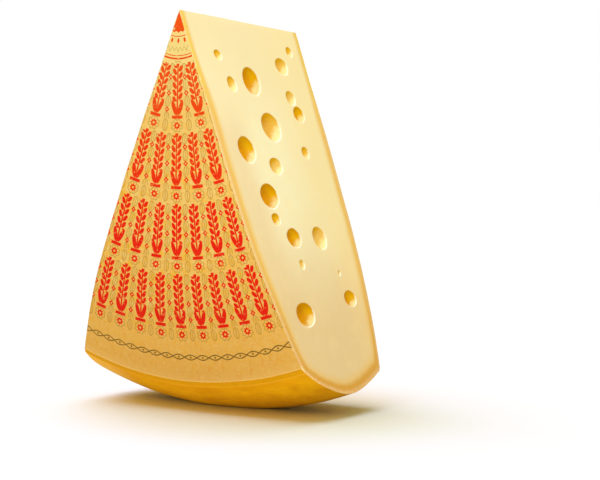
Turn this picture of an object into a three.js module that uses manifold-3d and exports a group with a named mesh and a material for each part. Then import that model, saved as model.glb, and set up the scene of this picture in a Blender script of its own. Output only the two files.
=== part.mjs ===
// A wedge of hard cheese with large round eyes, cut from a domed wheel and
// standing on the bulging rim, with its thin edge upwards.
//
// Millimetres, +Z up. The wheel's axis runs along Y: its printed face looks to
// -Y and its plain face to +Y. The origin is on the floor, under the middle of
// the wedge.

import * as THREE from 'three';
import * as BufferGeometryUtils from 'three/addons/utils/BufferGeometryUtils.js';
import Module from 'manifold-3d';

// ---- Driving dimensions -----------------------------------------------------

const WHEEL_RADIUS = 427;      // to the fullest part of the rim
const WHEEL_THICKNESS = 250;   // through the middle, where both faces are highest
const WEDGE_ANGLE = 41;        // degrees between the two cuts
const FOOT_DEPTH = 2.5;        // how far the rim has settled flat where it stands

// Each face falls from its middle to its edge by DROP, and ever faster: the
// height lost at radius r is drop * (r / radius) ** power.
const PRINTED_FACE = { radius: 393, drop: 37, power: 4.2 };
const PLAIN_FACE = { radius: 407.5, drop: 41.3, power: 3.6 };
const RIM_POWER = 1.75;        // how squarely the rim bulges between its two edges
const RIM_SLANT = 0.3;         // how much more squarely towards the printed face's edge
const EDGE_BEVEL = 4;          // the worn corner between a face and the rim

const WHEEL_FACETS = 150;      // round the whole wheel
const FACE_STEPS = 12;         // along each face's half section
const RIM_STEPS = 12;          // across the rim
const EYE_FACET = 5.5;         // length of an eye's facets round its lip
const EYE_NECK = 0.3;          // how far a cutter stands out of the cut, per half height

const RIND_COLOUR = 0xe0a83c;

// An eye is a bubble that the knife has opened: DOWN is its distance from the
// thin edge, measured along the cut, ACROSS its place along Y, HIGH and WIDE
// half its mouth that way, and DEPTH its floor below the cut.
const RIGHT_EYES = [
  { down: 46, across: -73, high: 6.2, wide: 7.5, depth: 5 },
  { down: 71, across: -16, high: 16.2, wide: 17.3, depth: 17 },
  { down: 78, across: -62, high: 9.1, wide: 9.1, depth: 6.5 },
  { down: 48, across: 64, high: 10.3, wide: 13.5, depth: 7.5 },
  { down: 28, across: 93, high: 6.8, wide: 7.4, depth: 5.5 },
  { down: 86, across: 63, high: 9, wide: 10.5, depth: 5 },
  { down: 105, across: 71, high: 9.6, wide: 11.8, depth: 10 },
  { down: 124, across: -2, high: 16.8, wide: 19.5, depth: 12.5 },
  { down: 152, across: -70, high: 14.5, wide: 17, depth: 14 },
  { down: 170, across: -18, high: 10.3, wide: 13.1, depth: 6.5 },
  { down: 152, across: 59, high: 7.2, wide: 8.5, depth: 6 },
  { down: 204, across: -51, high: 13.7, wide: 17.7, depth: 15.5 },
  { down: 230, across: -52, high: 6.7, wide: 8.9, depth: 6.5 },
  { down: 251, across: -25, high: 10.7, wide: 14.3, depth: 12 },
  { down: 252, across: 34, high: 13.3, wide: 15.8, depth: 7.5 },
  { down: 281, across: -25, high: 5.6, wide: 5.9, depth: 3 },
  { down: 293, across: 56, high: 3.5, wide: 2.9, depth: 2.2 },
  { down: 323, across: 64, high: 9.6, wide: 12.9, depth: 9.5 },
  { down: 335, across: -49, high: 13.1, wide: 18.4, depth: 15.5 },
];
const LEFT_EYES = [
  { down: 38, across: 22, high: 7, wide: 8, depth: 5.5 },
  { down: 62, across: -58, high: 10.5, wide: 12.5, depth: 9 },
  { down: 84, across: 70, high: 14, wide: 16.5, depth: 13 },
  { down: 108, across: -14, high: 17, wide: 18.5, depth: 16 },
  { down: 128, across: 48, high: 6, wide: 7.5, depth: 4.5 },
  { down: 150, across: -68, high: 12.5, wide: 15, depth: 8 },
  { down: 176, across: 16, high: 9.5, wide: 12, depth: 9 },
  { down: 192, across: 74, high: 11, wide: 12.5, depth: 7 },
  { down: 214, across: -34, high: 15.5, wide: 18, depth: 15 },
  { down: 236, across: 40, high: 5, wide: 6.5, depth: 3.5 },
  { down: 262, across: 62, high: 13, wide: 16, depth: 13 },
  { down: 270, across: -66, high: 8, wide: 9.5, depth: 6.5 },
  { down: 298, across: 4, high: 12, wide: 15.5, depth: 7 },
  { down: 322, across: -44, high: 6.5, wide: 8, depth: 5 },
  { down: 346, across: 38, high: 11.5, wide: 14, depth: 11 },
];

// ---- Solids -----------------------------------------------------------------

const wasm = await Module();
wasm.setup();

// A closed three.js geometry as a solid that can be joined and cut.
function solidOf(geometry) {
  geometry.deleteAttribute('normal');
  geometry.deleteAttribute('uv');
  const merged = BufferGeometryUtils.mergeVertices(geometry, 1e-3);
  const index = merged.index.array;
  const triVerts = [];
  for (let i = 0; i < index.length; i += 3) {
    const [a, b, c] = index.subarray(i, i + 3);
    if (a !== b && b !== c && c !== a) triVerts.push(a, b, c);
  }
  return new wasm.Manifold(new wasm.Mesh({
    numProp: 3,
    vertProperties: new Float32Array(merged.attributes.position.array),
    triVerts: new Uint32Array(triVerts),
  }));
}

function geometryOf(solid) {
  const mesh = solid.getMesh();
  const geometry = new THREE.BufferGeometry();
  geometry.setAttribute('position', new THREE.BufferAttribute(mesh.vertProperties, 3));
  geometry.setIndex(new THREE.BufferAttribute(mesh.triVerts, 1));
  geometry.computeVertexNormals();
  return geometry;
}

// ---- The wheel --------------------------------------------------------------

function faceHeight(face, radius) {
  return WHEEL_THICKNESS / 2 - face.drop * (radius / face.radius) ** face.power;
}

// The rim's radius at y, from the printed face's edge to the plain face's.
function rimRadius(y) {
  const front = faceHeight(PRINTED_FACE, PRINTED_FACE.radius);
  const back = faceHeight(PLAIN_FACE, PLAIN_FACE.radius);
  const place = (2 * y - (back - front)) / (front + back);
  const middle = (PRINTED_FACE.radius + PLAIN_FACE.radius) / 2;
  const lean = (PLAIN_FACE.radius - PRINTED_FACE.radius) / 2;
  const power = RIM_POWER - RIM_SLANT * place;
  const bulge = (WHEEL_RADIUS - middle) * (1 - Math.abs(place) ** power);
  return middle + lean * place + bulge;
}

// Points along a face from the axis to its worn corner, closer together where
// the face bends down.
function faceSection(face, side) {
  const points = [];
  for (let i = 0; i <= FACE_STEPS; i++) {
    const radius = (face.radius - EDGE_BEVEL) * (1 - (1 - i / FACE_STEPS) ** 1.7);
    points.push(new THREE.Vector2(radius, side * faceHeight(face, radius)));
  }
  return points;
}

// The whole wheel's half section, turned round the Y axis.
function wheelGeometry() {
  const front = faceHeight(PRINTED_FACE, PRINTED_FACE.radius) - EDGE_BEVEL;
  const back = faceHeight(PLAIN_FACE, PLAIN_FACE.radius) - EDGE_BEVEL;
  const rim = [];
  for (let i = 0; i <= RIM_STEPS; i++) {
    const y = THREE.MathUtils.lerp(-front, back, i / RIM_STEPS);
    rim.push(new THREE.Vector2(rimRadius(y), y));
  }
  const profile = [
    ...faceSection(PRINTED_FACE, -1),
    ...rim,
    ...faceSection(PLAIN_FACE, 1).reverse(),
  ];
  return new THREE.LatheGeometry(profile, WHEEL_FACETS);
}

// The space between the two knife cuts, apex on the wheel's axis, opening
// towards -Z.
function cutsGeometry() {
  const reach = 1.2 * WHEEL_RADIUS;
  const halfWidth = reach * Math.tan(THREE.MathUtils.degToRad(WEDGE_ANGLE / 2));
  const triangle = new THREE.Shape([
    new THREE.Vector2(0, 0),
    new THREE.Vector2(-halfWidth, -reach),
    new THREE.Vector2(halfWidth, -reach),
  ]);
  const depth = 1.2 * WHEEL_THICKNESS;
  const prism = new THREE.ExtrudeGeometry(triangle, { depth, bevelEnabled: false });
  return prism.translate(0, 0, -depth / 2).rotateX(Math.PI / 2);
}

// The slice of the rim below the flat that the wedge stands on.
function footGeometry() {
  const size = WHEEL_RADIUS;
  return new THREE.BoxGeometry(size, size, size)
    .translate(0, 0, FOOT_DEPTH - WHEEL_RADIUS - size / 2);
}

// ---- The eyes ---------------------------------------------------------------

// A bubble's cutter, its mouth a unit circle in the XZ plane, its floor at -Y:
// an arc of the sphere that has this mouth and this floor, then a short neck.
function bubbleGeometry(depthRatio, facets) {
  const sphere = (1 + depthRatio ** 2) / (2 * depthRatio);
  const centre = sphere - depthRatio;
  const mouthAngle = Math.acos(centre / sphere);
  const steps = Math.ceil(facets / 4);
  const profile = [];
  for (let i = 0; i <= steps; i++) {
    const angle = mouthAngle * i / steps;
    profile.push(new THREE.Vector2(sphere * Math.sin(angle), centre - sphere * Math.cos(angle)));
  }
  profile.push(new THREE.Vector2(1, EYE_NECK), new THREE.Vector2(0, EYE_NECK));
  return new THREE.LatheGeometry(profile, facets);
}

// The cutter in its place on the cut at +X (side 1) or at -X (side -1).
function eyeGeometry(eye, side) {
  const tilt = THREE.MathUtils.degToRad(WEDGE_ANGLE / 2);
  const down = new THREE.Vector3(side * Math.sin(tilt), 0, -Math.cos(tilt));
  const outward = new THREE.Vector3(side * Math.cos(tilt), 0, Math.sin(tilt));
  const across = new THREE.Vector3().crossVectors(down, outward);
  const place = new THREE.Matrix4().makeBasis(down, outward, across);
  place.setPosition(down.clone().multiplyScalar(eye.down).setY(eye.across));
  place.scale(new THREE.Vector3(eye.high, eye.high, eye.wide));
  const facets = Math.max(10, Math.round(2 * Math.PI * eye.wide / EYE_FACET));
  return bubbleGeometry(eye.depth / eye.high, facets).applyMatrix4(place);
}

// ---- The wedge --------------------------------------------------------------

function wedgeGeometry() {
  let wedge = solidOf(wheelGeometry())
    .intersect(solidOf(cutsGeometry()))
    .subtract(solidOf(footGeometry()));
  for (const eye of RIGHT_EYES) wedge = wedge.subtract(solidOf(eyeGeometry(eye, 1)));
  for (const eye of LEFT_EYES) wedge = wedge.subtract(solidOf(eyeGeometry(eye, -1)));
  return geometryOf(wedge);
}

const cheese = new THREE.Mesh(
  wedgeGeometry(),
  new THREE.MeshStandardMaterial({ color: RIND_COLOUR, roughness: 0.5, metalness: 0 }),
);
cheese.name = 'cheese_wedge';
cheese.position.z = WHEEL_RADIUS - FOOT_DEPTH;

const part = new THREE.Group();
part.add(cheese);

export default part;
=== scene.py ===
# %% [markdown]
# # A wedge of large-eyed cheese
#
# The real thing is a slice of a big domed wheel. A wheel of this kind is
# pressed in a hoop, brined, and ripened for months, and while gas opens round
# eyes in the paste its two faces rise and its rim bulges. The rind is only the
# outer few millimetres, dried and darkened, and one face carries a print.
#
# The wedge is made here the same way round: first the wheel's outline, then
# the rind and the paste as pieces turned from that outline through the
# wedge's angle, then the eyes, then the unevenness of a hand-cut thing, and
# last the finishes and the light.

# %% The frame
import math

import bmesh
import bpy
from mathutils import Matrix, Vector, noise


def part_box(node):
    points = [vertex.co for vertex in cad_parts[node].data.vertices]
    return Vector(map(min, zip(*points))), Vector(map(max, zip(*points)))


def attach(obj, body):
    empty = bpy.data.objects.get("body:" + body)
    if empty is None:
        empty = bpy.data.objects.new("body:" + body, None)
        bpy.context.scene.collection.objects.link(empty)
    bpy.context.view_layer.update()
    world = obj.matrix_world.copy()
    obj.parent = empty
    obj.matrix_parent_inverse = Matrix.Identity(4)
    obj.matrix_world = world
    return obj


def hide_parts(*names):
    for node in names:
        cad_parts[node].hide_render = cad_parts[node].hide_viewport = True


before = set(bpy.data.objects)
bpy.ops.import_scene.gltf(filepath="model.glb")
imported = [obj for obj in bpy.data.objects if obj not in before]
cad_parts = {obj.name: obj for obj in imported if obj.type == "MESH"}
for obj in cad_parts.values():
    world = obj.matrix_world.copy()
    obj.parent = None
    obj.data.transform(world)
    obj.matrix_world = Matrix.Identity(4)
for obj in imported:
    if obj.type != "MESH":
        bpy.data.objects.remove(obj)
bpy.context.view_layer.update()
low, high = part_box("cheese_wedge")
AXIS_HEIGHT = high.z
THICKNESS = high.y - low.y
print(f"the wheel's axis is {AXIS_HEIGHT:.4f} m up, and its middle {THICKNESS:.3f} m thick")

# %% [markdown]
# ## The camera
#
# A product picture of a tall thing is taken from well back with a long lens,
# so that its sides stay nearly parallel. The camera stands a little above the
# thing's middle, and looks down on it very slightly. It is also turned a touch
# about its own line of sight, so the wedge leans in the frame.
# The place and the three turns are set as one matrix, since the last turn is
# about the camera's own axis.

# %% Camera
CAMERA_PLACE = Vector((0.903, -1.518, 0.244))
CAMERA_YAW = math.radians(28.42)
CAMERA_PITCH = math.radians(-1.91)
CAMERA_ROLL = math.radians(1.67)
LENS_MM = 95.46

camera = bpy.data.objects.new("camera", bpy.data.cameras.new("camera"))
bpy.context.scene.collection.objects.link(camera)
camera.data.lens = LENS_MM
camera.data.sensor_width = 36
camera.matrix_world = (
    Matrix.Translation(CAMERA_PLACE)
    @ Matrix.Rotation(CAMERA_YAW, 4, "Z")
    @ Matrix.Rotation(math.pi / 2 + CAMERA_PITCH, 4, "X")
    @ Matrix.Rotation(CAMERA_ROLL, 4, "Z")
)
bpy.context.scene.camera = camera
print(f"camera {CAMERA_PLACE.length:.2f} m away with a {LENS_MM:.0f} mm lens")

# %% [markdown]
# ## The wheel's outline
#
# Everything follows one outline: half of the wheel's section, from the axis
# out over the printed face, round the rim and back in over the plain face.
# Each face falls away from its middle ever faster, which a power of the
# radius gives. The rim bulges between two worn corners, a little more squarely
# towards the printed face. The outline is worked out from those few sizes, so
# each piece can ask for it again at its own depth.

# %% Sizes of the wheel
WEDGE_ANGLE = math.radians(41)
WHEEL_RADIUS = AXIS_HEIGHT + 0.0025   # the rim has settled 2.5 mm where it stands
PRINTED_FACE = {"radius": 0.393, "drop": 0.037, "power": 4.2}
PLAIN_FACE = {"radius": 0.4075, "drop": 0.0413, "power": 3.6}
RIM_POWER = 1.75                      # how squarely the rim bulges between its edges
RIM_SLANT = 0.3                       # how much more so towards the printed face
CORNER = 0.0026                       # the worn band between a face and the rim
CORNER_WORN = 0.55                    # how far its curve falls short of the true corner
RIDGE = 0.0004                        # how proud the band's two edges stand
RIND = 0.0025                         # the thickness of the dry skin
FACE_STEPS = 66
RIM_STEPS = 40
CORNER_STEPS = 5


def face_height(face, radius):
    return THICKNESS / 2 - face["drop"] * (radius / face["radius"]) ** face["power"]


FRONT_EDGE = face_height(PRINTED_FACE, PRINTED_FACE["radius"])
BACK_EDGE = face_height(PLAIN_FACE, PLAIN_FACE["radius"])


def rim_radius(y):
    place = (2 * y - (BACK_EDGE - FRONT_EDGE)) / (FRONT_EDGE + BACK_EDGE)
    middle = (PRINTED_FACE["radius"] + PLAIN_FACE["radius"]) / 2
    lean = (PLAIN_FACE["radius"] - PRINTED_FACE["radius"]) / 2
    power = RIM_POWER - RIM_SLANT * place
    bulge = (WHEEL_RADIUS - middle) * (1 - abs(place) ** power)
    return middle + lean * place + bulge


print(f"edges {FRONT_EDGE + BACK_EDGE:.3f} m apart, rim {rim_radius(0):.3f} m")

# %% The outline as points (radius, y)
def face_points(face, side):
    """A face's half section, with its points closest where it bends down."""
    end = face["radius"] - CORNER
    radii = [end * (1 - (1 - i / FACE_STEPS) ** 1.5) for i in range(FACE_STEPS + 1)]
    return [Vector((r, side * face_height(face, r))) for r in radii]


def rim_points():
    first, last = -FRONT_EDGE + CORNER, BACK_EDGE - CORNER
    turns = [math.pi * i / RIM_STEPS for i in range(RIM_STEPS + 1)]
    ys = [first + (last - first) * (1 - math.cos(a)) / 2 for a in turns]
    return [Vector((rim_radius(y), y)) for y in ys]


def corner_points(start, end, side):
    """The worn band: a quadratic curve's inner points, bent round the true corner."""
    face = PRINTED_FACE if side < 0 else PLAIN_FACE
    edge = Vector((face["radius"], side * face_height(face, face["radius"])))
    bend = edge.lerp((start + end) / 2, CORNER_WORN)
    steps = [i / CORNER_STEPS for i in range(1, CORNER_STEPS)]
    return [(1 - t) ** 2 * start + 2 * t * (1 - t) * bend + t * t * end for t in steps]


# %% The whole outline, and the same one set deeper
def outline(ridge=0.0):
    front = face_points(PRINTED_FACE, -1)
    back = face_points(PLAIN_FACE, 1)[::-1]
    rim = rim_points()
    front_band = corner_points(front[-1], rim[0], -1)
    back_band = corner_points(rim[-1], back[0], 1)
    for point, way in ((front[-1], -1), (back[0], 1)):
        point.y += way * ridge
    for point in (rim[0], rim[-1]):
        point.x += ridge
    return front + front_band + rim + back_band + back


def inset(points, depth):
    """The same outline, moved in towards the paste."""
    moved = []
    for i, point in enumerate(points):
        before, after = points[max(i - 1, 0)], points[min(i + 1, len(points) - 1)]
        along = (after - before).normalized()
        inwards = Vector((-along.y, along.x))
        if i in (0, len(points) - 1):
            inwards = Vector((0, -math.copysign(1, point.y)))
        moved.append(point + depth * inwards)
    return moved


OUTER = outline(RIDGE)
INNER = inset(outline(), RIND)
closest = min((b - a).length for a, b in zip(INNER, INNER[1:]))
print(f"outline of {len(OUTER)} points, {closest * 1000:.2f} mm apart at the closest")

# %% [markdown]
# ## Turning a section into a wedge
#
# A flat section stood in the first cut and spun about the wheel's axis gives
# a solid with both cuts already in it, and with clean rows of faces between
# them. The wheel's axis lies along Y, so points of the outline go down from
# it along the cut. Spinning closes the thin edge onto itself, so the doubles
# there are merged, and the normals are worked out again, because the turn
# can leave them inside out.

# %% Helpers for turned pieces
AXIS_POINT = Vector((0, 0, AXIS_HEIGHT))
HALF = WEDGE_ANGLE / 2


def on_cut(radius, y, side=-1):
    """A point of the outline, on the cut at +X (side 1) or at -X (side -1)."""
    return AXIS_POINT + Vector((side * radius * math.sin(HALF), y, -radius * math.cos(HALF)))


def chain(bm, points):
    verts = [bm.verts.new(on_cut(p.x, p.y)) for p in points]
    edges = [bm.edges.new(pair) for pair in zip(verts, verts[1:])]
    return verts, edges


def spin_wedge(bm, steps):
    bmesh.ops.spin(
        bm, geom=bm.verts[:] + bm.edges[:] + bm.faces[:], cent=AXIS_POINT,
        axis=(0, 1, 0), angle=-WEDGE_ANGLE, steps=steps, use_duplicate=False,
    )
    bmesh.ops.remove_doubles(bm, verts=bm.verts, dist=1e-6)
    bmesh.ops.recalc_face_normals(bm, faces=bm.faces)


def finished(bm, name):
    """The bmesh as an object of the scene, at the origin."""
    mesh = bpy.data.meshes.new(name)
    bm.to_mesh(mesh)
    bm.free()
    piece = bpy.data.objects.new(name, mesh)
    bpy.context.scene.collection.objects.link(piece)
    return piece


def cut_depth(x, down):
    """How far a place across and down from the wheel's axis lies under the nearer cut."""
    return down * math.sin(HALF) - abs(x) * math.cos(HALF)


SAME = 1e-5                           # closer than this, two things touch
print(f"halfway down the wedge the cuts are {2000 * cut_depth(0, WHEEL_RADIUS / 2):.0f} mm apart")

# %% [markdown]
# ## The rind
#
# The rind could be painted on one solid wedge. It is made as a layer of its
# own instead, because that is what it is: a dry skin with a thickness, whose
# cut edge shows as a line round each cut. It comes in two pieces that meet
# where the printed face ends in its worn corner. Each is a strip between the
# outline and the same outline set 2.5 mm deeper, bridged and spun. A layer on
# the vertices marks the outside, so that after the spin the edges that the
# knife left can be found again, and rounded very slightly with a bevel.

# %% Rind pieces
SPIN_STEPS = 64
EDGE_ROUND = 0.0008


def on_thin_edge(vert):
    return math.hypot(vert.co.x, vert.co.z - AXIS_HEIGHT) < SAME


def round_edges(bm, edges):
    bmesh.ops.bevel(
        bm, geom=edges, offset=EDGE_ROUND, segments=3, profile=0.5,
        affect="EDGES", material=-1,
    )


def rind_piece(name, outer, inner):
    bm = bmesh.new()
    outside = bm.verts.layers.int.new("outside")
    outer_verts, outer_edges = chain(bm, outer)
    _, inner_edges = chain(bm, inner)
    for vert in outer_verts:
        vert[outside] = 1
    bmesh.ops.bridge_loops(bm, edges=outer_edges + inner_edges)
    spin_wedge(bm, SPIN_STEPS)
    at_cut = {v for v in bm.verts if abs(cut_depth(v.co.x, AXIS_HEIGHT - v.co.z)) < SAME}
    on_cuts = {v for v in at_cut if v[outside]}
    thin = {v for v in bm.verts if on_thin_edge(v)}
    round_edges(bm, [e for e in bm.edges if on_cuts.issuperset(e.verts) or thin.issuperset(e.verts)])
    open_edges = sum(not edge.is_manifold for edge in bm.edges)
    print(f"{name}: {len(bm.faces)} faces, {open_edges} open edges")
    return finished(bm, name)


face_end = FACE_STEPS                 # the outline's point where the printed face ends
printed_rind = rind_piece("printed_rind", OUTER[:face_end + 1], INNER[:face_end + 1])
plain_rind = rind_piece("plain_rind", OUTER[face_end:], INNER[face_end:])

# %% [markdown]
# ## The paste
#
# The paste is everything inside the rind. Its section is closed along the
# wheel's axis, filled, and cut into a grid of 5 mm cells by planes both ways,
# so that the cut faces later have points to carry their unevenness. Then it
# is spun like the rind, in fewer steps, because its round side is hidden. The
# wedge's thin edge gets the same small rounding as the rind's.

# %% Paste
CELL = 0.005
HIDDEN_STEPS = 16


def planes(start, end):
    count = math.ceil((end - start) / CELL)
    return [start + (end - start) * i / count for i in range(1, count)]


def paste_block():
    bm = bmesh.new()
    verts, edges = chain(bm, INNER)
    edges.append(bm.edges.new((verts[-1], verts[0])))
    bmesh.ops.triangle_fill(bm, edges=edges, use_beauty=False, use_dissolve=True)
    down = (on_cut(1, 0) - AXIS_POINT).normalized()
    cuts = [(AXIS_POINT + down * r, down) for r in planes(0, WHEEL_RADIUS - RIND)]
    cuts += [((0, y, 0), (0, 1, 0)) for y in planes(-THICKNESS / 2, THICKNESS / 2)]
    for place, normal in cuts:
        bmesh.ops.bisect_plane(
            bm, geom=bm.verts[:] + bm.edges[:] + bm.faces[:],
            plane_co=place, plane_no=normal, dist=1e-6,
        )
    spin_wedge(bm, HIDDEN_STEPS)
    round_edges(bm, [e for e in bm.edges if all(on_thin_edge(vert) for vert in e.verts)])
    open_edges = sum(not edge.is_manifold for edge in bm.edges)
    print(f"paste: {len(bm.faces)} faces, {open_edges} open edges")
    return finished(bm, "paste")


paste = paste_block()

# %% [markdown]
# ## The eyes
#
# An eye is a gas bubble that the knife has opened. So its wall is part of a
# sphere, set deep or shallow as the knife met it, and a little wider across
# the wheel than along its radius, because the wheel sank while it ripened.
# The lip isn't sharp: a real cut tears and dries into a small round edge, and
# it wears most on its lower side. Each cutter is therefore turned from an arc
# of the sphere and a smaller arc for the lip that touches both the sphere and
# the cut. Then its points are moved a little, so that no eye is a true oval,
# and all the cutters come off the paste in one Boolean.

# %% Where the eyes are
# Millimetres: down from the thin edge along the cut, across along the wheel's
# axis, half height and half width of the mouth, and depth.
RIGHT_EYES = [
    (46, -73, 6.2, 7.5, 5), (71, -16, 16.2, 17.3, 17), (78, -62, 9.1, 9.1, 6.5),
    (48, 64, 10.3, 13.5, 7.5), (28, 93, 6.8, 7.4, 5.5), (86, 63, 9, 10.5, 5),
    (105, 71, 9.6, 11.8, 10), (124, -2, 16.8, 19.5, 12.5), (152, -70, 14.5, 17, 14),
    (170, -18, 10.3, 13.1, 6.5), (152, 59, 7.2, 8.5, 6), (204, -51, 13.7, 17.7, 15.5),
    (230, -52, 6.7, 8.9, 6.5), (251, -25, 10.7, 14.3, 12), (252, 34, 13.3, 15.8, 7.5),
    (281, -25, 5.6, 5.9, 3), (293, 56, 3.5, 2.9, 2.2), (323, 64, 9.6, 12.9, 9.5),
    (335, -49, 13.1, 18.4, 15.5),
]
LEFT_EYES = [
    (38, 22, 7, 8, 5.5), (62, -58, 10.5, 12.5, 9), (84, 70, 14, 16.5, 13),
    (108, -14, 17, 18.5, 16), (128, 48, 6, 7.5, 4.5), (150, -68, 12.5, 15, 8),
    (176, 16, 9.5, 12, 9), (192, 74, 11, 12.5, 7), (214, -34, 15.5, 18, 15),
    (236, 40, 5, 6.5, 3.5), (262, 62, 13, 16, 13), (270, -66, 8, 9.5, 6.5),
    (298, 4, 12, 15.5, 7), (322, -44, 6.5, 8, 5), (346, 38, 11.5, 14, 11),
]
print(f"{len(RIGHT_EYES)} eyes on the right cut and {len(LEFT_EYES)} on the left")

# %% The profile of an eye
MM = 0.001
LIP = 0.05                            # the lip's radius, as a share of the eye's half height
LIP_END = math.radians(12)            # the slope at which the lip runs out of the cut
WALL_STEPS = 9
LIP_STEPS = 4


def eye_profile(high, depth):
    """Points (radius, height) from the eye's floor to above the cut."""
    sphere = (high ** 2 + depth ** 2) / (2 * depth)
    centre = sphere - depth
    lip = LIP * high
    lip_out = math.sqrt((sphere + lip) ** 2 - (centre + lip) ** 2)
    turn = math.atan2(lip_out, centre + lip)
    wall = [turn * i / WALL_STEPS for i in range(WALL_STEPS + 1)]
    points = [Vector((sphere * math.sin(a), centre - sphere * math.cos(a))) for a in wall]
    for i in range(1, LIP_STEPS + 1):
        a = turn + (LIP_END - turn) * i / LIP_STEPS
        points.append(Vector((lip_out - lip * math.sin(a), lip * math.cos(a) - lip)))
    clear = 0.5 * high                # so that the cutter's top stands well out of the cut
    points.append(points[-1] + clear * Vector((math.cos(LIP_END), math.sin(LIP_END))))
    return points + [Vector((0, points[-1].y))]


# %% Where an eye goes, and how its lip wears
LIP_WORN = 0.20                       # how much wider the lip is where the paste sags most
WORN_SIDE = math.radians(-50)         # that side: downwards, and towards the printed face


def eye_place(side, down, across, stretch):
    along = Vector((side * math.sin(HALF), 0, -math.cos(HALF)))
    outward = Vector((side * math.cos(HALF), 0, math.sin(HALF)))
    turn = Matrix((along, (0, side, 0), outward)).transposed().to_4x4()
    place = AXIS_POINT + along * down + Vector((0, across, 0))
    return Matrix.Translation(place) @ turn @ Matrix.Diagonal((1, stretch, 1, 1))


def wear_lip(point, on_lip, side, high):
    """Moves a lip's point outwards, most on the worn side."""
    around = math.atan2(side * point.y, point.x) - WORN_SIDE
    worn = LIP_WORN * high * on_lip ** 2 * (0.5 + 0.5 * math.cos(around)) ** 2
    outwards = Vector((point.x, point.y, 0)).normalized()
    return point + worn * outwards


# %% Eye cutters
WOBBLE = 0.05                         # how far an eye is from a true oval
ROUND_STEPS = 24                      # round a mouth, and one more for each mm of half width


def add_eye(bm, side, eye):
    down, across, high, wide, depth = (size * MM for size in eye)
    part = bmesh.new()
    step = part.verts.layers.int.new("step")
    verts = [part.verts.new((p.x, 0, p.y)) for p in eye_profile(high, depth)]
    for i, vert in enumerate(verts[:-1]):
        vert[step] = max(0, min(i - WALL_STEPS, LIP_STEPS))
    edges = [part.edges.new(pair) for pair in zip(verts, verts[1:])]
    bmesh.ops.spin(
        part, geom=verts + edges, axis=(0, 0, 1), angle=2 * math.pi,
        steps=round(ROUND_STEPS + 1000 * wide), use_merge=True, use_duplicate=False,
    )
    bmesh.ops.remove_doubles(part, verts=part.verts, dist=1e-6)
    bmesh.ops.recalc_face_normals(part, faces=part.faces)
    own_place = Vector((down, across, side)) * 90     # so that no two eyes are alike
    for vert in part.verts:
        wobble = noise.noise(vert.co / high + own_place)
        vert.co = wear_lip(vert.co, vert[step] / LIP_STEPS, side, high) * (1 + WOBBLE * wobble)
    part.transform(eye_place(side, down, across, wide / high))
    mesh = bpy.data.meshes.new("eye")
    part.to_mesh(mesh)
    part.free()
    bm.from_mesh(mesh)
    bpy.data.meshes.remove(mesh)


def eye_cutters():
    bm = bmesh.new()
    for side, eyes in ((1, RIGHT_EYES), (-1, LEFT_EYES)):
        for eye in eyes:
            add_eye(bm, side, eye)
    print(f"eye cutters: {len(bm.faces)} faces, volume {bm.calc_volume(signed=True) * 1e6:.0f} ml")
    return finished(bm, "eye_cutters")


cutters = eye_cutters()

# %% Cut the eyes
def take_off(piece, cutter):
    """The piece's mesh, with the cutter's volume taken off it."""
    boolean = piece.modifiers.new("eyes", "BOOLEAN")
    boolean.operation = "DIFFERENCE"
    boolean.solver = "EXACT"
    boolean.use_self = True
    boolean.object = cutter
    evaluated = piece.evaluated_get(bpy.context.evaluated_depsgraph_get())
    mesh = bpy.data.meshes.new_from_object(evaluated)
    mesh.name = piece.name
    piece.modifiers.clear()
    piece.data = mesh
    bpy.data.objects.remove(cutter)


take_off(paste, cutters)
print(f"paste with eyes: {len(paste.data.polygons)} faces")

# %% [markdown]
# ## Unevenness
#
# Nothing about a cheese is true: the wheel was pressed and turned by hand, and
# a wire pulled through it wanders a little. A slow field of noise moves every
# point by about a millimetre. The field depends on the place alone, so pieces
# that touch move together and stay closed. Before that, each point keeps its
# true place in an attribute named "place", and the finishes read it, so that
# the rind is as thick at the cut and the print as straight as on the wheel.
# The field gets a seed, because without one each run would draw other waves.
# Where the wedge stands, the rim is pressed flat against the floor.

# %% Uneven surfaces
SWAY = ((0.090, 0.0010), (0.030, 0.00025))    # width of the waves, and their height
SWAY_SEED = 541
SETTLE = 0.0005                               # how softly the foot's flat begins
LOW = 0.02                                    # below this, a point can reach the floor

noise.seed_set(SWAY_SEED)


def stray(point):
    return sum((noise.noise_vector(point / wide) * high for wide, high in SWAY), Vector())


def settled(height):
    return SETTLE * math.log1p(math.exp(height / SETTLE)) if height < LOW else height


def make_uneven(piece):
    mesh = piece.data
    place = mesh.attributes.new("place", "FLOAT_VECTOR", "POINT")
    moved = 0
    for vert, kept in zip(mesh.vertices, place.data):
        kept.vector = vert.co
        new = vert.co + stray(vert.co)
        new.z = settled(new.z)
        moved = max(moved, (new - vert.co).length)
        vert.co = new
    print(f"{piece.name}: points moved by up to {moved * 1000:.1f} mm")


pieces = [printed_rind, plain_rind, paste]
for piece in pieces:
    make_uneven(piece)

# %% [markdown]
# ## Shallow eyes
#
# An eye that the knife caught near its side is a shallow dish. Its floor gets
# more light than a deep eye's, so it looks paler, and that paleness is painted
# into the eye's colour. A material can't look through a list of eyes, but
# Python can, so the paste's points keep one more number: how shallow the eye is
# that they lie in.

# %% How shallow each eye is
MOUTH_REACH = 1.4                     # an eye's mouth with its lip, in half mouths
DISH, DEEP = 0.55, 0.85               # depth over half mouth, of a shallow and a deep eye


def shallowness(point):
    """1 in an eye that the knife opened near its side, down to 0 in one cut through its middle."""
    eyes = RIGHT_EYES if point.x > 0 else LEFT_EYES
    along_cut = (AXIS_HEIGHT - point.z) * math.cos(HALF) + abs(point.x) * math.sin(HALF)
    for down, across, high, wide, depth in eyes:
        off = math.hypot((along_cut / MM - down) / high, (point.y / MM - across) / wide)
        if off < MOUTH_REACH:
            return min(max((DEEP - 2 * depth / (high + wide)) / (DEEP - DISH), 0), 1)
    return 0


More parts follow.
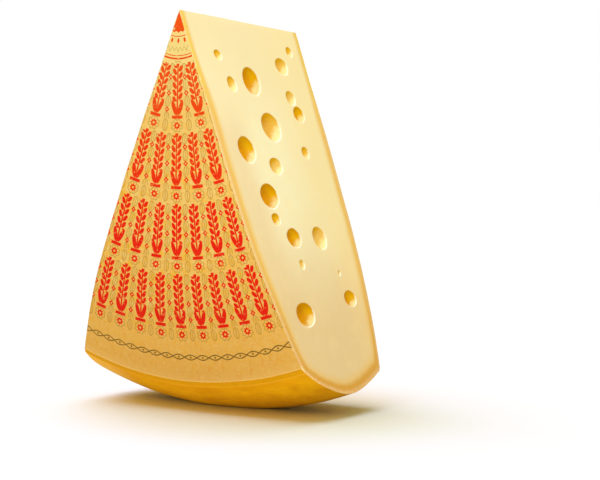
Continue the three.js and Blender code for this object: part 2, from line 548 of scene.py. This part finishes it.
def mark_shallow_eyes(piece):
    mesh = piece.data
    marks = mesh.attributes.new("shallow", "FLOAT", "POINT")
    for mark, kept in zip(marks.data, mesh.attributes["place"].data):
        mark.value = shallowness(kept.vector)
    print(f"{sum(mark.value > 0.5 for mark in marks.data)} points lie in shallow eyes")


mark_shallow_eyes(paste)

# %% [markdown]
# ## Shading
#
# Smooth shading hides the facets, but across a knife's edge it would smear the
# light of one surface into the next. So edges that turn sharply stay crisp,
# and the normals are weighted by the faces' sizes, which keeps the flat cut
# flat round the small faces of the lips.

# %% Smooth shading with crisp edges
CRISP = math.radians(35)


def shade(piece):
    bm = bmesh.new()
    bm.from_mesh(piece.data)
    for face in bm.faces:
        face.smooth = True
    for edge in bm.edges:
        edge.smooth = edge.calc_face_angle(0) < CRISP
    crisp = sum(not edge.smooth for edge in bm.edges)
    bm.to_mesh(piece.data)
    bm.free()
    flat = piece.modifiers.new("even shading", "WEIGHTED_NORMAL")
    flat.keep_sharp = True
    print(f"{piece.name}: {crisp} crisp edges")


for piece in pieces:
    shade(piece)

# %% [markdown]
# ## Writing finishes
#
# A finish is a small program of nodes. Written out node by node, its sums are
# hard to follow, so two helpers come first. A Wire is a socket that knows
# Python's operators, and each operation adds its Math node. So the functions
# that gave the wheel its shape work on wires too. A Finish is a material with
# one method that adds any other node: its settings first, then what goes into
# its sockets.

# %% A socket with operators
class Wire:
    def __init__(self, finish, socket):
        self.finish = finish
        self.socket = socket

    def __add__(self, other):
        return self.finish.math("ADD", self, other)

    def __sub__(self, other):
        return self.finish.math("SUBTRACT", self, other)

    def __rsub__(self, other):
        return self.finish.math("SUBTRACT", other, self)

    def __mul__(self, other):
        return self.finish.math("MULTIPLY", self, other)

    def __truediv__(self, other):
        return self.finish.math("DIVIDE", self, other)

    def __pow__(self, other):
        return self.finish.math("POWER", self, other)

    def __abs__(self):
        return self.finish.math("ABSOLUTE", self)

    __radd__ = __add__
    __rmul__ = __mul__


# %% A material that adds nodes
class Finish:
    def __init__(self, name):
        self.material = bpy.data.materials.new(name)
        self.material.use_nodes = True
        self.tree = self.material.node_tree
        self.shader = self.tree.nodes["Principled BSDF"]

    def plug(self, socket, value):
        if isinstance(value, Wire):
            self.tree.links.new(value.socket, socket)
        else:
            socket.default_value = value

    def node(self, kind, settings, values, output=0):
        """Adds a node, and returns one of its outputs."""
        made = self.tree.nodes.new(kind)
        for name, setting in settings.items():
            setattr(made, name, setting)
        for name, value in values.items():
            self.plug(made.inputs[name], value)
        return Wire(self, made.outputs[output])

    def math(self, operation, *values):
        return self.node("ShaderNodeMath", {"operation": operation}, dict(enumerate(values)))

    def set(self, **values):
        """Fills the surface shader's sockets, as base_color=... or roughness=..."""
        for name, value in values.items():
            socket = name.replace("_", " ").title().replace("Ior", "IOR")
            self.plug(self.shader.inputs[socket], value)

    def mix(self, share, first, second):
        """Between two colours: the first at a share of 0, the second at 1."""
        settings = {"data_type": "RGBA"}
        return self.node("ShaderNodeMix", settings, {0: share, 6: first, 7: second}, output=2)

    def rise(self, value, low, high):
        """0 where the value is below low, 1 above high, and smooth between."""
        settings = {"interpolation_type": "SMOOTHSTEP"}
        values = {"Value": value, "From Min": low, "From Max": high}
        return self.node("ShaderNodeMapRange", settings, values)

    def parts(self, vector):
        split = self.node("ShaderNodeSeparateXYZ", {}, {0: vector}).socket.node
        return [Wire(self, socket) for socket in split.outputs]

    def noise(self, vector, width, detail=2.0, roughness=0.5):
        """Cloudy values round 0.5, in clouds about this wide."""
        values = {"Vector": vector, "Scale": 1 / width, "Detail": detail, "Roughness": roughness}
        return self.node("ShaderNodeTexNoise", {}, values)

    def bump(self, height, distance):
        normal = self.node("ShaderNodeBump", {}, {"Height": height, "Distance": distance})
        self.set(normal=normal)

    def attribute(self, name, output):
        return self.node("ShaderNodeAttribute", {"attribute_name": name}, {}, output)

    def put_on(self, piece):
        piece.data.materials.clear()
        piece.data.materials.append(self.material)
        print(f"{self.material.name}: {len(self.tree.nodes)} nodes, on {piece.name}")


def srgb(red, green, blue):
    """A colour as a screen shows it, turned into amounts of light."""
    def light(value):
        value /= 255
        return value / 12.92 if value <= 0.04045 else ((value + 0.055) / 1.055) ** 2.4
    return (light(red), light(green), light(blue), 1.0)


# %% [markdown]
# ## Where a point lies in the cheese
#
# Cheese changes colour with depth. Under the rind it is a dense amber zone that
# fades into the paste over a centimetre. In an eye the light has passed through
# more paste, so it comes back yellower, and that is painted into the eye's
# colour as amber shade that deepens with depth. Both depths follow from a
# point's true place by the formulas that shaped the wheel, so they are worked
# out in the nodes, for every point of every piece.

# %% Depths from the true place
ROUNDING = 0.012                      # how widely the depths under two surfaces join


class Cheese(Finish):
    """A finish that knows how deep in the wheel each point lies."""

    def __init__(self, name):
        super().__init__(name)
        self.place = self.attribute("place", "Vector")
        self.x, self.y, z = self.parts(self.place)
        self.down = AXIS_HEIGHT - z
        self.radius = (self.x * self.x + self.down * self.down) ** 0.5
        self.from_cut = cut_depth(self.x, self.down)
        depths = (
            face_height(PRINTED_FACE, self.radius) + self.y,
            face_height(PLAIN_FACE, self.radius) - self.y,
            rim_radius(self.y) - self.radius,
        )
        self.from_faces = self.math("SMOOTH_MIN", depths[0], depths[1], ROUNDING)
        self.from_rim = depths[2]
        self.from_rind = self.math("SMOOTH_MIN", self.from_faces, self.from_rim, ROUNDING)

    def faces(self, direction):
        """1 where the surface looks this way, 0 across it, and -1 away from it."""
        normal = self.node("ShaderNodeTexCoord", {}, {}, output="Normal")
        settings = {"operation": "DOT_PRODUCT"}
        return self.node("ShaderNodeVectorMath", settings, {0: normal, 1: direction}, output="Value")


# %% [markdown]
# ## The cut surface
#
# The cut runs through rind and paste alike, so both pieces take its colours
# from one function. From the outside inwards there is a broken pale lip where
# the knife crumbled the rind's edge, a strip that has dried paler, the amber of
# the dense zone, and a fade into the cream of the paste. All of them waver a
# little, and they follow the wheel: the zone is narrow and gold near the thin
# edge, and broad and brown at the heel, under the old rim.
#
# In an eye the wall's colour is painted light and shade, set by its depth and
# by which way it looks. Deep in it is painted amber shade, towards the printed
# face it turns a painted, lit gold, and where it opens upwards to the light it
# is painted cream, with a painted highlight, nearly white, on its lip.

# %% Colours of the cut
CREAM = srgb(250, 241, 205)
BUTTER = srgb(245, 230, 188)
NEAR_BUTTER = srgb(241, 221, 180)
FAR_BUTTER = srgb(251, 233, 184)
HEEL_SHADED_CREAM = srgb(234, 207, 160)
HEEL_SHADED_STRAW = srgb(244, 214, 158)
ZONE_YELLOW = srgb(242, 206, 126)
ZONE_GOLD = srgb(242, 205, 98)
ZONE_AMBER = srgb(240, 192, 100)
ZONE_STRAW = srgb(236, 198, 126)
ZONE_HEEL = srgb(222, 166, 70)
ZONE_DRY = srgb(240, 206, 150)
ZONE_DRY_HEEL = srgb(236, 193, 136)
SPOT = srgb(226, 154, 50)
DRY_LIP = srgb(246, 222, 166)
# Painted light and shade in the eyes: amber for shade deep in an eye, gold and pale for walls that face
# the light, and cream where an eye opens to the light.
EYE_SHADE_AMBER = srgb(220, 158, 3)
EYE_LIT_GOLD = srgb(236, 190, 4)
EYE_LIT_PALE = srgb(240, 200, 108)
EYE_LIT_CREAM = srgb(250, 235, 172)
LIP_HIGHLIGHT = srgb(255, 252, 232)
# The side that the eyes' painted light comes from: towards the printed face and up, and for the painted
# gold the same side but down.
LIT_SIDE = (0.0, -0.71, 0.71)        # towards the printed face, and up
LIT_GOLD_SIDE = (0.0, -0.80, -0.60)       # and the same, but down
UNDER_FACE = 0.0068                   # how deep the dense zone lies under a face
UNDER_RIM = 0.0095                    # and under the rim, at its broadest


# %% Colours of the paste
def paste_colours(finish):
    """Cream, yellower at the thin edge and the far side, and duller at the heel: partly the paste's own
    tone there, partly painted shade on the cut's lower part.
    """
    clouds = (finish.noise(finish.place, 0.08) - 0.5) * 0.05
    patches = finish.noise(finish.place, 0.022, detail=4, roughness=0.6)
    out = finish.radius + clouds
    colour = finish.mix(finish.rise(out, 0.03, 0.15), BUTTER, CREAM)
    near_side = finish.rise(finish.y + clouds, -0.035, -0.085) * finish.rise(out, 0.06, 0.16)
    colour = finish.mix(near_side, colour, NEAR_BUTTER)
    colour = finish.mix(finish.rise(finish.y + clouds, -0.02, 0.09), colour, FAR_BUTTER)
    # partly painted shade: the paste is duller towards the heel, where the cut gets less light
    heel = finish.mix(finish.rise(finish.y + clouds, 0.03, 0.09), HEEL_SHADED_CREAM, HEEL_SHADED_STRAW)
    to_heel = finish.rise(out, 0.21, 0.35)
    colour = finish.mix(to_heel, colour, heel)
    return finish.mix(finish.rise(patches, 0.45, 0.75) * (0.35 - to_heel * 0.2), colour, FAR_BUTTER)


# %% Colours under the rind
def cut_colours(finish):
    """The paste's colours, with the dense zone under the rind, in shares of its depth."""
    slow = finish.noise(finish.place, 0.012, detail=3, roughness=0.6) - 0.5
    grain = finish.noise(finish.place, 0.0022, detail=3, roughness=0.7) - 0.5
    waver = slow * 0.5 + grain * 0.45
    thin = 1 - finish.rise(finish.radius, 0.12, 0.05) * 0.35
    under_face = finish.from_faces / (UNDER_FACE * thin)
    far = finish.rise(finish.y, -0.03, 0.06)
    under_rim = finish.from_rim / (UNDER_RIM * (0.75 + 0.25 * far))
    share = finish.math("SMOOTH_MIN", under_face, under_rim, 1.2) + waver
    to_heel = finish.rise(finish.radius, 0.24, 0.43)
    zone = finish.mix(finish.rise(finish.radius, 0.06, 0.14), ZONE_GOLD, ZONE_AMBER)
    zone = finish.mix(to_heel, zone, ZONE_HEEL)
    fade = finish.mix(to_heel, ZONE_YELLOW, ZONE_STRAW)
    colour = finish.mix(finish.rise(share, 2.9, 1.2), paste_colours(finish), fade)
    colour = finish.mix(finish.rise(share, 1.8, 0.9), colour, zone)
    dry = finish.mix(to_heel, ZONE_DRY, ZONE_DRY_HEEL)
    dried = finish.rise(under_face, 0.95, 0.35) * finish.rise(finish.radius, 0.06, 0.14)
    dried_rim = finish.rise(finish.from_rim + waver * 0.004 - far * 0.0012, 0.0058, 0.002)
    dried = finish.math("MAXIMUM", dried, dried_rim)
    colour = finish.mix(dried * 0.8, colour, dry)
    spots = finish.rise(finish.noise(finish.place, 0.0035, detail=3), 0.50, 0.64) * (1 - far * 0.8)
    band = finish.rise(finish.from_rind, 0.007, 0.004) * finish.rise(finish.from_rind, 0.001, 0.002)
    colour = finish.mix(spots * band * to_heel * 0.9, colour, SPOT)
    worn_off = finish.rise(finish.radius, 0.12, 0.26) * 0.08
    broken = finish.rise(finish.noise(finish.place, 0.0045, detail=3) - worn_off, 0.42, 0.60)
    crumb = finish.from_rind - grain * 0.004
    return finish.mix(finish.rise(crumb, 0.0014, 0.0005) * broken, colour, DRY_LIP)


# %% Colours in the eyes
def eye_colours(finish, colour):
    """Painted shade and light in an eye: amber in its depth, gold towards its lip, cream where it opens
    to the light, and a painted highlight on the lip.
    """
    mottle = finish.noise(finish.place, 0.004, detail=3, roughness=0.6) - 0.5
    shallow = finish.attribute("shallow", "Fac")
    deep = finish.rise(finish.from_cut, 0.003, 0.012)
    # painted light and shade: the wall's colour follows which way it faces and how deep it lies
    light = finish.faces(LIT_SIDE)
    lit_gold_share = finish.faces(LIT_GOLD_SIDE) + mottle * 0.4 - deep * 0.8
    wall = finish.mix(finish.rise(lit_gold_share, -0.6, 0.8), EYE_SHADE_AMBER, EYE_LIT_GOLD)
    # painted light: shallow eyes are paler where their walls face the light
    wall = finish.mix(finish.rise(light + mottle * 0.6, -0.35, 0.35) * shallow, wall, EYE_LIT_PALE)
    # painted light: eyes high on the cut are painted creamier, as more light reaches them there
    painted_light_high_up = finish.rise(finish.radius, 0.20, 0.06)
    lit_cream_share = light + mottle * 0.5 - deep * 0.3 + shallow * 0.15 + painted_light_high_up * 0.12
    wall = finish.mix(finish.rise(lit_cream_share, 0.55, 1.0), wall, EYE_LIT_CREAM)
    colour = finish.mix(finish.rise(finish.from_cut, 0.00005, 0.0008), colour, wall)
    # painted highlight: a nearly white line on the lip where it faces the light
    on_lip = finish.rise(finish.from_cut, 0.00001, 0.0001) * finish.rise(finish.from_cut, 0.0018, 0.0005)
    return finish.mix(finish.rise(light, 0.27, 0.50) * on_lip, colour, LIP_HIGHLIGHT)


# %% Paste
def paste_finish():
    finish = Cheese("paste")
    grain = finish.noise(finish.place, 0.002, detail=3)
    streaks = finish.noise(finish.place, 0.03)
    finish.set(
        base_color=eye_colours(finish, cut_colours(finish)),
        roughness=0.42 + 0.1 * grain,
        specular_ior_level=0.1,
        subsurface_weight=0.15,
        subsurface_radius=(1.0, 0.7, 0.35),
        subsurface_scale=0.004,
    )
    finish.bump(grain + 2 * streaks, 0.0002)
    return finish


paste_finish().put_on(paste)

# %% [markdown]
# ## The rind's finish
#
# Off the cut, the rind shows its own skin. On the rim it is amber with a low
# sheen, browner towards the faces, and towards the left cut it is painted
# lighter and more golden, a painted light for light bounced onto that end. On
# the faces it is drier and paler, with blots of gold and pale grain, and long
# streaks near the rim, where the wheel was wiped. The worn band round each face
# is the deepest in colour, with a painted highlight along both of its ridges.
# The knife's edge takes the cut's pale lip, so the skin begins a fraction of a
# millimetre away from the cut, along a ragged line.

# %% Skin and cut
FACE_MIDDLE = srgb(236, 213, 138)
FACE_LIGHT = srgb(234, 197, 116)
FACE_DEEP = srgb(237, 186, 96)
FACE_EDGE = srgb(246, 202, 122)
FACE_GOLD = srgb(243, 188, 60)
RIM_AMBER = srgb(228, 170, 14)
RIM_BROWN = srgb(210, 146, 9)
RIM_LIT_GOLD = srgb(240, 188, 44)
BAND_AMBER = srgb(188, 133, 8)
RIDGE_HIGHLIGHT = srgb(220, 163, 40)
SPECK = srgb(230, 156, 50)
STREAK = srgb(232, 158, 44)
PALE_GRAIN_AND_HIGHLIGHT = srgb(246, 212, 130)


def skin_share(finish):
    """0 on the cut and its lip, 1 on the skin."""
    ragged = finish.noise(finish.place, 0.004, detail=3)
    return finish.rise(finish.from_cut - 0.0010 * ragged, 0.0, 0.0004)


def near(finish, value, width):
    """1 at zero, fading to 0 this far from it."""
    return finish.rise(abs(value), width, width * 0.3)


# %% The faces' skin
def face_skin(finish):
    """The dry skin of a face: palest at the middle, with blots, specks, outer streaks, and a painted
    highlight along its edge.
    """
    mottle = finish.noise(finish.place, 0.016, detail=4, roughness=0.65)
    blots = finish.noise(finish.place, 0.006, detail=4, roughness=0.7)
    fine = finish.noise(finish.place, 0.0026, detail=3, roughness=0.7)
    stretched = finish.node(
        "ShaderNodeVectorMath", {"operation": "MULTIPLY"}, {0: finish.place, 1: (1.0, 1.0, 0.22)},
    )
    streaks = finish.noise(stretched, 0.004, detail=3, roughness=0.6)
    colour = finish.mix(finish.rise(finish.radius, 0.05, 0.11), FACE_MIDDLE, FACE_LIGHT)
    colour = finish.mix(finish.rise(finish.radius, 0.12, 0.40), colour, FACE_DEEP)
    outer = finish.rise(finish.radius, 0.05, 0.20)
    golden = finish.rise(mottle, 0.45, 0.70) * 0.35 + finish.rise(blots, 0.50, 0.60) * 0.65
    inner = outer * (1 - finish.rise(finish.radius, 0.31, 0.36) * 0.6)
    colour = finish.mix(golden * inner, colour, FACE_GOLD)
    colour = finish.mix(finish.rise(blots, 0.48, 0.36) * inner * 0.65, colour, PALE_GRAIN_AND_HIGHLIGHT)
    colour = finish.mix(finish.rise(fine, 0.52, 0.78) * 0.6, colour, SPECK)
    colour = finish.mix(finish.rise(fine, 0.48, 0.25) * 0.35, colour, PALE_GRAIN_AND_HIGHLIGHT)
    low_down = finish.rise(finish.radius, 0.28, 0.38) * finish.rise(streaks, 0.52, 0.72)
    colour = finish.mix(low_down * 0.5, colour, STREAK)
    inside_edge = PRINTED_FACE["radius"] - CORNER
    at_edge = finish.rise(finish.radius, inside_edge - 0.011, inside_edge - 0.001)
    colour = finish.mix(at_edge * finish.rise(finish.y, 0.0, -0.01) * 0.5, colour, FACE_EDGE)
    # painted highlight: a pale line along the face's edge, where the worn band begins
    return finish.mix(near(finish, finish.radius - inside_edge, 0.0014) * 0.2, colour, PALE_GRAIN_AND_HIGHLIGHT)


# %% Rind of the rim and the plain face
def rind_finish():
    finish = Cheese("rind")
    cloud = finish.noise(finish.place, 0.03, detail=4, roughness=0.6)
    rim = finish.mix(finish.rise(cloud, 0.35, 0.75), RIM_AMBER, RIM_BROWN)
    inside_edge = PLAIN_FACE["radius"] - CORNER
    on_face = finish.rise(finish.radius, inside_edge + 0.0002, inside_edge - 0.0004)
    on_face = on_face * finish.rise(finish.y, 0.0, 0.01)
    from_front = finish.y + FRONT_EDGE
    from_back = BACK_EDGE - finish.y
    in_band = finish.math("MINIMUM", from_front, from_back)
    rim = finish.mix(finish.rise(in_band, 0.020, 0.006) * 0.7, rim, RIM_BROWN)
    # painted light: the rim is made lighter and more golden towards the left cut, for light bounced onto
    # that end
    rim = finish.mix(finish.rise(finish.x, -0.08, -0.13) * 0.45, rim, RIM_LIT_GOLD)
    streak = finish.noise(finish.place, 0.006, detail=3, roughness=0.6)
    skin = finish.mix(finish.rise(in_band, CORNER + 0.0004, CORNER - 0.0004), rim, BAND_AMBER)
    # painted highlight: a pale line along the band's ridge on the rim
    ridge = near(finish, in_band - CORNER - 0.0012, 0.0014) * finish.rise(streak, 0.2, 0.6)
    skin = finish.mix(ridge, skin, RIDGE_HIGHLIGHT)
    skin = finish.mix(on_face, skin, face_skin(finish))
    fine = finish.noise(finish.place, 0.003, detail=3)
    skin_here = skin_share(finish)
    finish.set(
        base_color=finish.mix(skin_here, cut_colours(finish), skin),
        roughness=0.5 - 0.12 * skin_here + 0.1 * fine,
        specular_ior_level=0.05,
    )
    finish.bump(fine + 3 * cloud, 0.0004)
    return finish


rind_finish().put_on(plain_rind)

# %% [markdown]
# ## The print
#
# Dairies mark one face of the wheel with rows that run out from its middle, so
# that every wedge carries the mark. Here the mark is a plain country pattern:
# a rosette at the middle, four rounds of ears of grain with sprigs between
# them and small flowers under them, and a round of crossing strands outside. It
# is drawn as a recipe on polar places, the radius and the turn about the axis,
# because then a row repeats by taking the remainder of the turn, and the
# columns fan out by themselves. The rounds follow one rule too: each starts
# 73 mm further out than the last, and has 18 more ears to the full circle. The
# shapes are masks from 0 to 1, joined by their maximum.

# %% The rounds of the print
ROUND_START = 56.0                    # millimetres from the axis, as all of the print
ROUND_PITCH = 73.0
FIRST_EARS = 26
MORE_EARS = 18
ROUNDS = 4
BLUR = 0.10                           # the softness of the ink's edge, as a share of a shape


class Print(Cheese):
    """A finish that can draw in polar places."""

    def __init__(self, name):
        super().__init__(name)
        self.r = self.radius * 1000
        self.turn = self.math("ARCTAN2", self.x, self.down) * (0.5 / math.pi)
        along = (self.r - ROUND_START) / ROUND_PITCH
        self.round = self.math("MINIMUM", self.math("FLOOR", along), ROUNDS - 1)
        self.v = (along - self.round) * ROUND_PITCH
        self.ears = self.round * MORE_EARS + FIRST_EARS
        self.rag = (self.noise(self.place, 0.0012, detail=1) - 0.5) * 0.35

    def column(self, count, shift):
        """Millimetres to the side of the nearest of so many columns to the circle."""
        place = self.turn * count + shift
        return (place - self.math("ROUND", place)) * self.r * (2 * math.pi) / count

    def rows(self, v, first, pitch):
        """Millimetres along from the nearest of a column's rows."""
        place = (v - first) / pitch
        return (place - self.math("ROUND", place)) * pitch

    def fill(self, size):
        """A mask of where a shape's size is below 1, with the ink's ragged edge."""
        return self.rise(size + self.rag, 1 + BLUR, 1 - BLUR)

    def oval(self, u, v, wide, high, lean=0.0):
        """The size of an ellipse round u = v = 0: 1 on its edge."""
        c, s = math.cos(math.radians(lean)), math.sin(math.radians(lean))
        p = (u * c + v * s) / wide
        q = (v * c - u * s) / high
        return (p * p + q * q) ** 0.5

    def bar(self, u, v, wide, high):
        return self.math("MAXIMUM", abs(u) / wide, abs(v) / high)

    def outlined(self, size, line=0.16):
        return self.fill(abs(size - 1) / line)

    def between(self, value, low, high):
        """1 between two values, with crisp ends."""
        middle, half = (low + high) / 2, (high - low) / 2
        return self.math("LESS_THAN", abs(value - middle), half)

    def any(self, *masks):
        joined = masks[0]
        for mask in masks[1:]:
            joined = self.math("MAXIMUM", joined, mask)
        return joined


# %% An ear of grain
GRAIN = {"wide": 2.1, "high": 4.0, "lean": 28, "out": 3.6, "pitch": 7.3}


def ear(ink):
    """Leaning grains by turns on either side of a stem, two leaves, and a tie."""
    u = ink.column(ink.ears, 0.0)
    side = ink.math("SIGN", u)
    out = abs(u)
    row = ink.rows(ink.v + side * (GRAIN["pitch"] / 4), 7.0, GRAIN["pitch"])
    grains = ink.fill(ink.oval(out - GRAIN["out"], row, GRAIN["wide"], GRAIN["high"], GRAIN["lean"]))
    grains = grains * ink.between(ink.v, 2.2, 40)
    tip = ink.fill(ink.oval(u, ink.v - 1.0, 1.9, 3.6))
    stem = ink.fill(ink.bar(u, ink.v - 29, 0.9, 26))
    leaf = ink.fill(ink.oval(out - 3.8, ink.v - 46.5, 2.5, 8.0, 18))
    tie = ink.fill(ink.bar(u, ink.v - 56.2, 6.4, 1.7))
    return ink.any(grains, tip, stem, leaf, tie)


# %% Sprigs and flowers
def leaf_shape(ink, u, v):
    """An outlined leaf with a faint fill and a vein."""
    size = ink.oval(u, v, 2.9, 5.6)
    vein = ink.fill(ink.bar(u, v, 0.45, 3.6))
    return ink.any(ink.outlined(size, line=0.18), vein, ink.fill(size) * 0.18)


def sprig(ink):
    """Returns the olive and the red of the sprig between two ears."""
    u = ink.column(ink.ears, 0.5)
    wave = ink.math("SINE", ink.v * 0.37) * 0.6
    bud_row = ink.rows(ink.v, 14.5, 17)
    bud = ink.fill(ink.math("ADD", abs(u) / 3.0, abs(bud_row) / 3.1))
    heart = ink.fill(ink.oval(u, bud_row, 0.9, 0.9))
    here = ink.between(ink.v, -3, 58)
    return leaf_shape(ink, u - wave, ink.rows(ink.v, 6, 17)) * here, bud * (1 - heart) * here


def flowers(ink):
    """Returns the olive and the red of the round of flowers under the ears."""
    u = ink.column(ink.ears, 0.0)
    v = ink.v - 65.0
    reach = ink.oval(u, v, 1, 1)
    petals = ink.math("COSINE", ink.math("ARCTAN2", u, v) * 8)
    red = ink.fill(reach / (petals * 0.7 + 3.7)) * (1 - ink.fill(reach / 1.3))
    sepals = ink.outlined(reach / (petals * -0.6 + 6.3), line=0.11)
    return ink.any(sepals, leaf_shape(ink, ink.column(ink.ears, 0.5), v)), red


# %% The middle and the outer ring
def middle(ink):
    """Returns the olive and the red of the rosette at the wheel's middle."""
    scallop = ink.math("COSINE", ink.turn * (2 * math.pi * 26))
    disc = ink.fill((ink.r - 23.5 - scallop * 0.8) / 2 + 1)
    thin = ink.any(ink.between(ink.r, 27.6, 28.5), ink.between(ink.r, 47.4, 48.3))
    thick = ink.between(ink.r, 50.0, 51.9)
    u = ink.column(26.0, 0.0)
    drop = ink.fill(ink.oval(u, ink.r - 32.4, 1.3, 2.5))
    zigzag = ink.between(ink.r - 41 - abs(ink.column(52.0, 0.5)) * 1.6, -2.6, -1.4)
    dots = ink.fill(ink.oval(u, ink.r - 43.6, 0.8, 0.8))
    return ink.any(zigzag, dots), ink.any(disc, thin, thick, drop)


def outer_ring(ink):
    """A round of two dark strands that cross, with a dot in each loop."""
    v = ink.r - 364
    sway = ink.math("SINE", ink.turn * (2 * math.pi * 75)) * 2.6
    strands = [ink.fill(abs(v + way * sway) / 0.65) for way in (1, -1)]
    dot = ink.fill(ink.oval(ink.column(150.0, 0.5), v, 1.1, 1.1))
    return ink.any(*strands, dot)


# %% Printed rind
INK_LIT_ORANGE = srgb(230, 77, 4)
INK_RED = srgb(231, 26, 2)
INK_OLIVE = srgb(176, 134, 50)
INK_DARK = srgb(112, 88, 34)


def printed_finish():
    ink = Print("printed_rind")
    in_rounds = ink.between(ink.r, ROUND_START - 3, ROUND_START + ROUNDS * ROUND_PITCH)
    sprig_olive, sprig_red = sprig(ink)
    flower_olive, flower_red = flowers(ink)
    middle_olive, middle_red = middle(ink)
    red = ink.any(ear(ink), sprig_red, flower_red) * in_rounds
    olive = ink.any(sprig_olive, flower_olive) * in_rounds
    wear = ink.noise(ink.place, 0.004, detail=4, roughness=0.7)
    strength = ink.rise(wear, 0.28, 0.42)
    colour = face_skin(ink)
    colour = ink.mix(ink.any(olive, middle_olive) * strength * 0.55, colour, INK_OLIVE)
    colour = ink.mix(outer_ring(ink) * strength * 0.9, colour, INK_DARK)
    # painted light: the red ink turns orange towards the wheel's middle, for the brighter haze of light
    # over the top of the face
    red_ink = ink.mix(ink.rise(ink.r, 40, 240), INK_LIT_ORANGE, INK_RED)
    colour = ink.mix(ink.any(red, middle_red) * strength, colour, red_ink)
    skin_here = skin_share(ink)
    fine = ink.noise(ink.place, 0.003, detail=3)
    ink.set(
        base_color=ink.mix(skin_here, cut_colours(ink), colour),
        roughness=0.5 + 0.1 * fine,
        specular_ior_level=0.15,
    )
    ink.bump(fine, 0.0003)
    return ink


printed_finish().put_on(printed_rind)

# %% [markdown]
# ## What the pieces stand for
#
# The wedge is one solid to whoever handles it, and these three pieces are how
# it looks. So all three ride on the same body, and take that solid's place.

# %% What the pieces stand for
for piece, slot in ((paste, "paste"), (plain_rind, "rind"), (printed_rind, "printed_rind")):
    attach(piece, "root")
    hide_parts("cheese_wedge")
print("the three pieces stand for the one solid")

# %% [markdown]
# ## Floor and light
#
# Food is shown on white in soft light. The floor is a white sheet, lit more
# brightly than the picture can hold, so that only the shadow shows on it. A
# very soft sun from high on the left throws that shadow and shapes the eyes.
# Round the wedge's foot the sheet is also painted a little darker and warmer,
# a painted shadow under the real one.
# Its light is bluish and the white round about is yellowish, so that the
# shadow comes out warm while the lit floor stays white. Two windows, in front
# and behind, light the wedge's upright faces, and a low card lifts the rim.
# They are linked to the pieces alone, because on the floor they would throw
# shadows of their own.

# %% Floor
FLOOR_SIZE = 30.0
FLOOR_WHITE = srgb(250, 249, 249)
FLOOR_PAINTED_SHADOW = srgb(242, 242, 224)
FLOOR_GREY = srgb(222, 212, 184)
SHADOW_X, SHADOW_Y = 0.05, -0.04      # the middle of the wedge's shadow


def white_floor():
    """A white sheet that throws less light back up than it shows, with a painted shadow round the
    wedge's foot.
    """
    bm = bmesh.new()
    bmesh.ops.create_grid(bm, x_segments=1, y_segments=1, size=FLOOR_SIZE / 2)
    floor = finished(bm, "floor")
    finish = Finish("white sheet")
    seen = finish.node("ShaderNodeLightPath", {}, {}, output="Is Camera Ray")
    x, y, _ = finish.parts(finish.node("ShaderNodeTexCoord", {}, {}, output="Object"))
    off_x, off_y = x - SHADOW_X, y - SHADOW_Y
    away = (off_x * off_x + off_y * off_y) ** 0.5
    # painted shadow: within about a quarter metre of the shadow's middle the sheet turns darker and
    # warmer
    white = finish.mix(finish.rise(away, 0.26, 0.10), FLOOR_WHITE, FLOOR_PAINTED_SHADOW)
    finish.set(
        base_color=finish.mix(seen, FLOOR_GREY, white),
        roughness=1.0,
        specular_ior_level=0.0,
    )
    finish.put_on(floor)
    return floor


white_floor()

# %% Lights
def aim(light, place):
    """Puts a light at a place, looking at the wedge's middle."""
    light.location = place
    light.rotation_euler = (place - AXIS_POINT / 2).to_track_quat("Z", "Y").to_euler()
    bpy.context.scene.collection.objects.link(light)


def sun(name, place, strength, softness):
    light = bpy.data.objects.new(name, bpy.data.lights.new(name, "SUN"))
    light.data.energy = strength
    light.data.angle = math.radians(softness)
    aim(light, place)
    return light


def window(name, place, power, size):
    light = bpy.data.objects.new(name, bpy.data.lights.new(name, "AREA"))
    light.data.energy = power
    light.data.size = size
    aim(light, place)
    return light


def only_for(light, objects):
    """The light falls on these objects alone."""
    lit = bpy.data.collections.new(f"lit by {light.name}")
    for thing in objects:
        lit.objects.link(thing)
    light.light_linking.receiver_collection = lit


overhead = sun("overhead", Vector((-0.66, -0.02, 2.0)), strength=2.85, softness=68)
overhead.data.color = (0.64, 0.70, 1.0)
front = window("front", Vector((0.85, -1.15, 1.12)), power=14.7, size=0.9)
only_for(front, pieces)
back = window("back", Vector((-0.35, 1.6, 0.8)), power=13, size=0.9)
back.data.color = (1.0, 0.88, 0.80)
only_for(back, pieces)
card = window("card", Vector((0.05, -0.9, 0.04)), power=7, size=0.8)
card.data.shape = "RECTANGLE"
card.data.size_y = 0.07
only_for(card, [plain_rind])

# %% White surroundings
FILL_COLOUR = (1.0, 0.92, 0.47, 1.0)
FILL_STRENGTH = 0.54


def surroundings():
    """White to the camera, and a dimmer warm light to everything else."""
    world = bpy.data.worlds.new("surroundings")
    world.use_nodes = True
    nodes, links = world.node_tree.nodes, world.node_tree.links
    fill = nodes["Background"]
    fill.inputs["Color"].default_value = FILL_COLOUR
    fill.inputs["Strength"].default_value = FILL_STRENGTH
    white = nodes.new("ShaderNodeBackground")
    white.inputs["Color"].default_value = (1.0, 1.0, 1.0, 1.0)
    path = nodes.new("ShaderNodeLightPath")
    choice = nodes.new("ShaderNodeMixShader")
    links.new(path.outputs["Is Camera Ray"], choice.inputs["Fac"])
    links.new(fill.outputs["Background"], choice.inputs[1])
    links.new(white.outputs["Background"], choice.inputs[2])
    links.new(choice.outputs["Shader"], nodes["World Output"].inputs["Surface"])
    bpy.context.scene.world = world


surroundings()
bpy.context.scene.view_settings.view_transform = "Standard"
